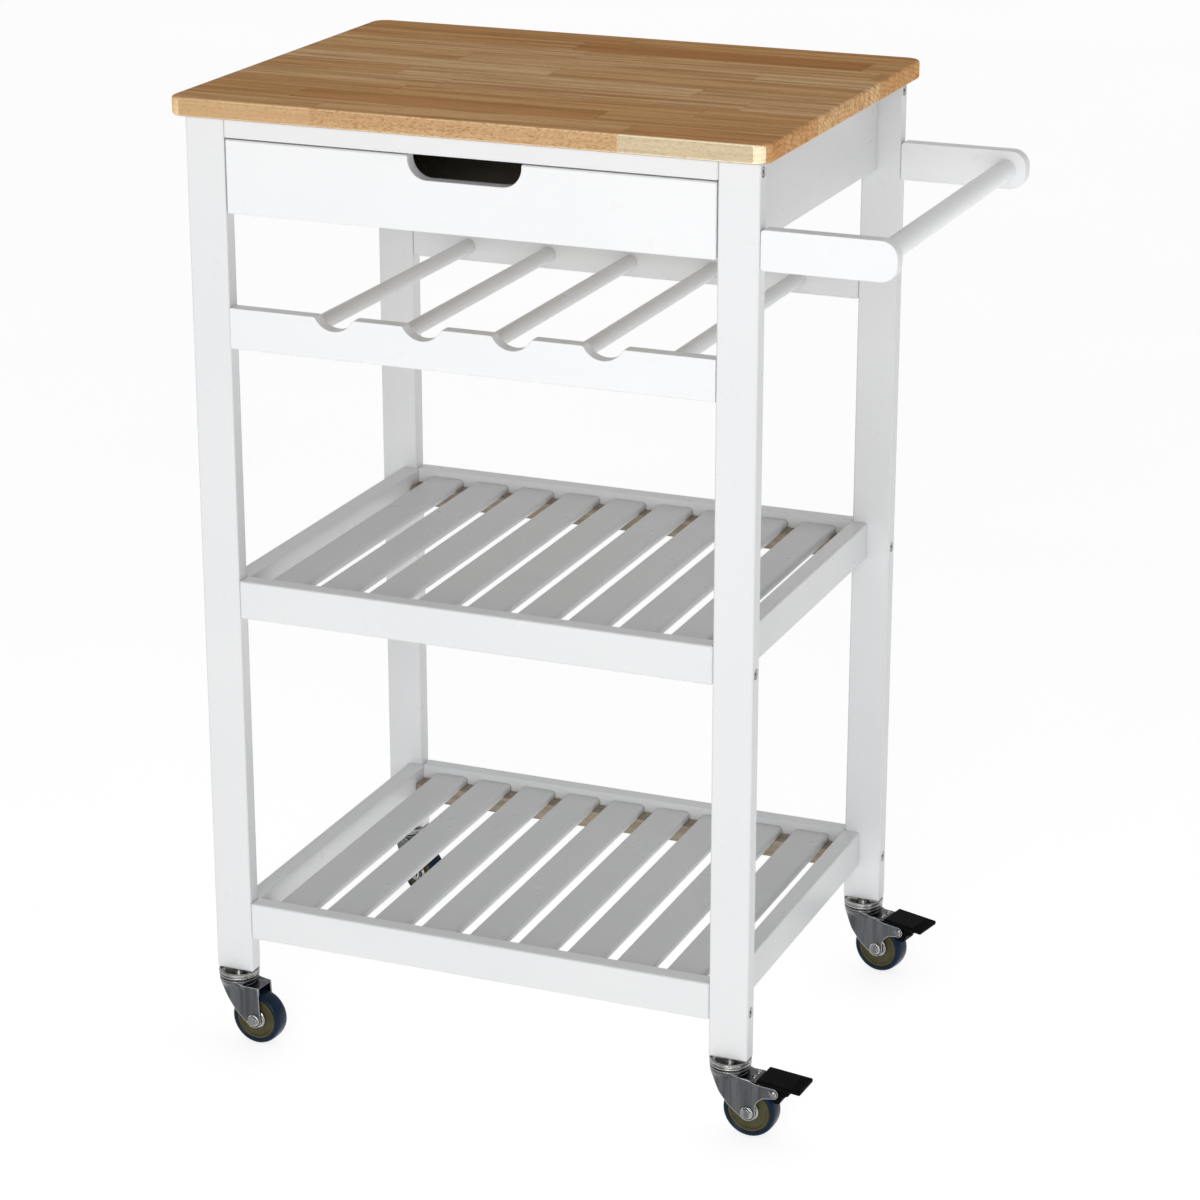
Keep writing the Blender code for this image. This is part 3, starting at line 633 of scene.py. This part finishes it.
def make_frame_bolts(finish):
    """Bolt heads seated in the legs' side recesses."""
    head = frame_bolt_mesh()
    for end, leg_side in ((-1, "left"), (1, "right")):
        for leg_end in ("front", "back"):
            low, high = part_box(f"leg_{leg_end}_{leg_side}")
            face = high.x if end > 0 else low.x
            turn = Matrix.Rotation(end * pi / 2, 4, "Y")
            for number, height in enumerate(BOLT_HEIGHTS, 1):
                seat = Matrix.Translation((face - end * BOLT_SINK, (low.y + high.y) / 2, height))
                name = f"frame_bolt_{leg_end}_{leg_side}_{number}"
                add_piece(name, moved(head.copy(), seat @ turn), finish, "cart", ())


# ---------------------------------------------------------------- casters
def fork_section(blend):
    """Half of the fork's outline seen from above, from the nose backwards.

    It goes from the round cup (blend 0) to straight sides with a rounded nose (blend 1).
    """
    points = []
    for step in range(15):
        angle = radians(180 - step * 7.6)
        cup = Vector((CUP_RADIUS * cos(angle), CUP_RADIUS * sin(angle)))
        nose = Vector((NOSE_RADIUS * cos(angle), 0.0))
        share = min(1.0, max(0.0, (nose.x + NOSE_RADIUS) / NOSE_LENGTH))
        nose.y = PLATE_OUTER * (1.0 - (1.0 - share) ** 2.4) ** 0.5
        points.append(cup.lerp(nose, blend))
    tail_start = points[-1]
    for share, tail_x in ((0.35, 0.0100), (0.75, 0.0140), (1.0, 0.0200), (1.0, 0.0520)):
        points.append(Vector((tail_x, tail_start.y + (PLATE_OUTER - tail_start.y) * share)))
    return points


def fork_outline(braked):
    """Side view of the fork's sides: (along the trail, height)."""
    points = [(0.0050, -0.0078), (-0.0200, -0.0078), (-0.0178, -0.0092)]
    if braked:
        points += [(-0.0120, -0.0185), (-0.0058, -0.0299), (0.0022, -0.0397), (0.0110, -0.0468)]
        points += arc(AXLE_AT, EYE_RADIUS, 215, 350, 10)
        points += [(0.0272, -0.0372), (0.0296, -0.0324), (0.0340, -0.0284)]
        points += arc(PIVOT_AT, PIVOT_EYE_RADIUS, -100, 88, 12)
        return points + [(0.0294, -0.0166), (0.0200, -0.0140), (0.0135, -0.0124)]
    points += [(-0.0123, -0.0173), (0.0014, -0.0374), (0.0110, -0.0462)]
    points += arc(AXLE_AT, EYE_RADIUS, 215, 350, 10)
    return points + [(0.0268, -0.0380), (0.0258, -0.0140), (0.0250, -0.0128), (0.0120, -0.0120)]


def fork_side(side, outline):
    """One side of the fork: sections lofted down from the cup, then cut to the outline."""
    work = bmesh.new()
    rings = []
    for height, blend in FORK_LEVELS:
        outer = fork_section(blend)
        inner = []
        for index, point in enumerate(outer):
            ahead = outer[min(index + 1, len(outer) - 1)]
            behind = outer[max(index - 1, 0)]
            tangent = (ahead - behind).normalized()
            inner.append(point + Vector((tangent.y, -tangent.x)) * SHEET)
        loop = outer + inner[::-1]
        rings.append([work.verts.new((point.x, side * max(point.y, 0.0), height)) for point in loop])
    for upper, lower in zip(rings, rings[1:]):
        for index in range(len(upper)):
            following = (index + 1) % len(upper)
            work.faces.new((upper[index], upper[following], lower[following], lower[index]))
    work.faces.new(rings[0])
    work.faces.new(rings[-1])
    return combined(bmesh_to_mesh(work), prism(outline, -0.03, 0.03), "INTERSECT")


def fork_mesh(braked):
    """Pressed fork: its two sides, the web between them and the cup."""
    sides = [fork_side(side, fork_outline(braked)) for side in (-1, 1)]
    half_web = PLATE_OUTER - 0.0002
    web = rounded_box(
        (0.0, -half_web, WEB_BOTTOM), (WEB_END[braked], half_web, WEB_TOP), 0.0008, 3
    )
    return joined(sides + [web, lathe(CUP_PROFILE)])


def web_bumps_mesh():
    """Two small domes on the web, next to the brake pedal."""
    dome = [(0.0, 0.0017), (0.0012, 0.0014), (0.0021, 0.0006), (0.0024, -0.0003), (0.0, -0.0004)]
    places = [Matrix.Translation((0.0243, across, WEB_TOP)) for across in (-0.0048, 0.0048)]
    return joined([moved(lathe(dome, 20), place) for place in places])


def tyre_mesh():
    """Rubber tyre: crowned tread, a moulded line on each shoulder and a lip at the hub."""
    half = [
        (0.0192, 0.0079), (0.0198, 0.0084), (0.0206, TYRE_HALF_WIDTH), (0.0212, TYRE_HALF_WIDTH),
        (0.0214, 0.0082), (0.0217, 0.0084), (0.0224, 0.0082), (0.0232, 0.0074), (0.0237, 0.0060),
        (0.0240, 0.0038), (0.0241, 0.0012),
    ]
    return moved(lathe(mirrored(half), 96, closed=True), LAY_ALONG_Y)


def hub_mesh():
    """Hub disc with a raised ring by the tyre and a dished middle."""
    half = [
        (0.0033, 0.0052), (0.0100, 0.0052), (0.0160, 0.0062), (0.0168, 0.0072), (0.0176, 0.0077),
        (0.0189, 0.0077),
    ]
    return moved(lathe(mirrored(half), 72, closed=True), LAY_ALONG_Y)


def washer_mesh():
    """Bright stepped bush washers that fill the dish between the hub and the fork's sides."""
    profile = [
        (0.0033, 0.0056), (0.0086, 0.0056), (0.0089, 0.0060), (0.0089, 0.0074), (0.0085, 0.0078),
        (0.0082, 0.0079), (0.0082, 0.0088), (0.0078, 0.0092), (0.0033, 0.0092),
    ]
    washers = []
    for turn in (pi, 0.0):
        washer = moved(lathe(profile, 40, closed=True), LAY_ALONG_Y)
        washers.append(moved(washer, Matrix.Rotation(turn, 4, "Z")))
    return joined(washers)


def axle_mesh():
    """Axle with a washer-faced hexagon head at each end and its chamfered corners."""
    parts = [lathe(mirrored([(0, 0.0125), (0.0030, 0.0125)]), 32)]
    dome_profile = [(0, 0.0152), (0.0039, 0.0151), (0.0050, 0.0146), (0.0050, 0.0110), (0, 0.0110)]
    washer_profile = [(0, 0.0123), (0.0053, 0.0123), (0.0056, 0.0120), (0.0056, 0.0117), (0, 0.0117)]
    for turn in (0.0, pi):
        hexagon = prism(regular_hexagon(0.0048, 20.0), 0.0118, 0.0152, "XY")
        head = combined(hexagon, lathe(dome_profile, 48), "INTERSECT")
        end = joined([head, lathe(washer_profile, 40)])
        parts.append(moved(end, Matrix.Rotation(turn, 4, "X")))
    return moved(joined(parts), LAY_ALONG_Y)


def pedal_mesh():
    """Brake pedal: a rounded tread with ribs at its tip, over the block with the shoe."""
    parts = [rounded_box(PEDAL_LOW, PEDAL_HIGH, 0.0013, 4)]
    for number in range(RIB_COUNT):
        along = 0.0160 + number * RIB_PITCH
        rib = rounded_box((along, -0.0132, 0.0102), (along + 0.0008, 0.0132, 0.0112), 0.0003, 2)
        parts.append(rib)
    parts.append(rounded_box((-0.0060, -0.0105, 0.0040), (0.0150, 0.0105, 0.0080), 0.0010, 3))
    tilted = moved(joined(parts), Matrix.Rotation(PEDAL_TILT, 4, "Y"))
    block = [
        (-0.0060, 0.0085), (-0.0060, -0.0025), (-0.0030, -0.0062), (0.0010, -0.0100),
        (0.0052, -0.0094), (0.0078, -0.0040), (0.0088, -0.0026), (0.0130, -0.0008),
        (0.0140, 0.0040), (0.0140, 0.0080),
    ]
    return joined([tilted, prism(block, -SHOE_HALF_WIDTH, SHOE_HALF_WIDTH)])


def pin_mesh():
    """Brake pin with a domed rivet head at each end."""
    half = [(0.0, 0.0132), (0.0016, 0.0130), (0.0028, 0.0125), (0.0035, 0.0118), (0.0022, 0.0118)]
    return moved(lathe(mirrored(half), 32), LAY_ALONG_Y)


def make_casters(zinc, fork_steel, bolt_finish, tyre_finish, hub_finish, pedal_finish):
    """Detailed parts for the four casters, placed by the frame's own joints."""
    for name, braked in CASTERS.items():
        pivot = Vector(JOINTS[f"swivel_{name}_turn"]["pos_m"])
        axle = Vector(JOINTS[f"wheel_{name}_spin"]["pos_m"])
        swing = Matrix.Rotation(atan2(axle.y - pivot.y, axle.x - pivot.x), 4, "Z")
        at_pivot = Matrix.Translation(pivot)
        at_fork = at_pivot @ swing
        at_axle = Matrix.Translation(axle) @ swing
        swivel, wheel, brake = f"swivel_{name}", f"wheel_{name}", f"brake_{name}"

        # Piece, mesh, place, material, body, the solid it replaces, material slot.
        parts = [
            ("head", lathe(HEAD_PROFILE, 72), at_pivot, zinc, "cart", ["stem"], STEEL_SLOT),
            ("pressed_fork", fork_mesh(braked), at_fork, fork_steel, swivel, ["fork"], STEEL_SLOT),
            ("axle_bolt", axle_mesh(), at_axle, bolt_finish, swivel, ["axle"], STEEL_SLOT),
            ("bush_washers", washer_mesh(), at_axle, zinc, swivel, [], STEEL_SLOT),
            ("rubber_tyre", tyre_mesh(), at_axle, tyre_finish, wheel, ["tyre"], "grey_rubber"),
            ("wheel_disc", hub_mesh(), at_axle, hub_finish, wheel, ["hub"], "olive_plastic"),
        ]
        if braked:
            hinge = Vector(JOINTS[f"brake_{name}_press"]["pos_m"])
            at_hinge = Matrix.Translation(hinge) @ swing
            parts += [
                # The domes belong to the pressed fork but take the bright zinc: painted highlight.
                ("web_bumps_painted_highlight", web_bumps_mesh(), at_fork, zinc, swivel, [], STEEL_SLOT),
                ("pedal", pedal_mesh(), at_hinge, pedal_finish, brake, ["brake_pedal"], "black_plastic"),
                ("rivet", pin_mesh(), at_hinge, bolt_finish, swivel, ["brake_pin"], STEEL_SLOT),
            ]
        for part, mesh, place, finish, body, solids, slot in parts:
            replaced = [f"caster_{name}_{solid}" for solid in solids]
            add_piece(f"caster_{name}_{part}", moved(mesh, place), finish, body, replaced)


# ---------------------------------------------------------------- studio
def make_floor():
    """A wide pale floor."""
    work = bmesh.new()
    bmesh.ops.create_grid(work, x_segments=1, y_segments=1, size=FLOOR_HALF)
    mesh = bmesh_to_mesh(work)
    mesh.materials.append(floor_material())
    floor = bpy.data.objects.new("floor", mesh)
    bpy.context.scene.collection.objects.link(floor)


def make_world():
    """Pale surroundings that dim overhead, in front and to both sides."""
    world = bpy.data.worlds.new("studio")
    bpy.context.scene.world = world
    world.use_nodes = True
    nodes = Nodes(world.node_tree)
    direction = nodes.add("ShaderNodeTexCoord").outputs["Generated"]
    parts = nodes.add("ShaderNodeSeparateXYZ", {0: direction}).outputs
    sideways = nodes.ramp(nodes.plus(nodes.times(parts[0], 0.5), 0.5), WORLD_SIDEWAYS)
    backward = nodes.ramp(nodes.plus(nodes.times(parts[1], 0.5), 0.5), WORLD_BACKWARD)
    upward = nodes.ramp(parts[2], WORLD_UPWARD)
    background = nodes.tree.nodes["Background"]
    nodes.feed(background.inputs["Color"], nodes.times(nodes.times(sideways, backward), upward))
    nodes.feed(background.inputs["Strength"], WORLD_STRENGTH)


def make_softbox():
    """One large soft light from the front."""
    lamp = bpy.data.lights.new("front_softbox", "AREA")
    lamp.shape = "RECTANGLE"
    lamp.size = LAMP_SIZE
    lamp.size_y = LAMP_SIZE
    lamp.energy = LAMP_POWER
    softbox = bpy.data.objects.new("front_softbox", lamp)
    softbox.location = LAMP_POSITION
    aim = Vector(LAMP_AIM) - softbox.location
    softbox.rotation_euler = aim.to_track_quat("-Z", "Y").to_euler()
    bpy.context.scene.collection.objects.link(softbox)


def make_camera():
    """A long lens that looks down on the cart's front and its right side."""
    data = bpy.data.cameras.new("camera")
    data.lens = CAMERA_LENS
    data.sensor_width = CAMERA_SENSOR
    data.clip_end = CAMERA_REACH
    camera = bpy.data.objects.new("camera", data)
    camera.location = CAMERA_POSITION
    camera.rotation_euler = (radians(90 + CAMERA_PITCH), 0, radians(CAMERA_AZIMUTH))
    bpy.context.scene.collection.objects.link(camera)
    bpy.context.scene.camera = camera


# ---------------------------------------------------------------- assembly
def paint_frame(axis_paints, bright):
    """Give every wooden node that stays a paint whose grain runs along its longest side."""
    for node, solid in NODES.items():
        if node.startswith("caster") or node.endswith("_slats") or node == "worktop":
            continue
        low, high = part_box(node)
        size = high - low
        longest = max(range(3), key=lambda axis: size[axis])
        if node == "drawer_bottom":
            finish = bare_wood("drawer_plywood", (0.44, 0.39, 0.32), (0.54, 0.49, 0.42))
        # The front parts get the lighter copy of the white paint: painted light.
        elif node in PAINTED_LIGHT_PARTS:
            finish = bright
        else:
            finish = axis_paints[longest]
        solid.data.materials.clear()
        solid.data.materials.append(finish)


bpy.context.scene.view_settings.view_transform = "Standard"
make_camera()
make_floor()
make_world()
make_softbox()

paints = [white_paint(f"white_paint_{axis}", index, FRAME_WHITE) for index, axis in enumerate("xyz")]
# The second paint is the lighter copy of the white: painted light on the front parts.
paint_frame(paints, white_paint("white_paint_painted_light", 0, PAINTED_LIGHT_WHITE))
make_worktop(butcher_block())
# The towel rod's paint is a lighter copy of the white: painted light.
make_rods(paints[1], white_paint("towel_rod_paint_painted_light", 1, TOWEL_ROD_PAINTED_LIGHT_WHITE))
make_slats(
    # The slats' paint is a darker copy of the white: painted shade.
    white_paint("slat_paint_painted_shade", 1, SLAT_PAINTED_SHADE_WHITE),
    # Raw wood for the battens: partly its own colour, darkened further as painted shade.
    bare_wood("batten_wood_painted_shade", (0.20, 0.16, 0.11), (0.36, 0.30, 0.22)),
)

# The last grey of each steel is the painted highlight along its edges.
bright_zinc = steel("bright_zinc", (0.30, 0.30, 0.29), (0.50, 0.50, 0.49), rough=0.16, edge=0.70)
make_frame_bolts(bright_zinc)
make_casters(
    bright_zinc,
    steel("pressed_steel", (0.070, 0.074, 0.080), (0.125, 0.130, 0.138), rough=0.20, edge=0.62),
    steel("bolt_steel", (0.14, 0.14, 0.14), (0.24, 0.24, 0.24), rough=0.18, edge=0.85),
    moulded(
        "blue_grey_rubber", (0.004, 0.014, 0.030), (0.007, 0.020, 0.044),
        rough=0.16, grain_scale=1400.0, depth=0.00002, specular=0.13,
    ),
    moulded(
        "olive_hub", (0.060, 0.056, 0.024), (0.085, 0.078, 0.036),
        rough=0.42, grain_scale=1100.0, depth=0.00005, specular=0.15,
    ),
    moulded(
        "black_pedal", (0.002, 0.002, 0.0022), (0.004, 0.004, 0.004),
        rough=0.45, grain_scale=1300.0, depth=0.00008, specular=0.03,
    ),
)

bpy.context.view_layer.update()
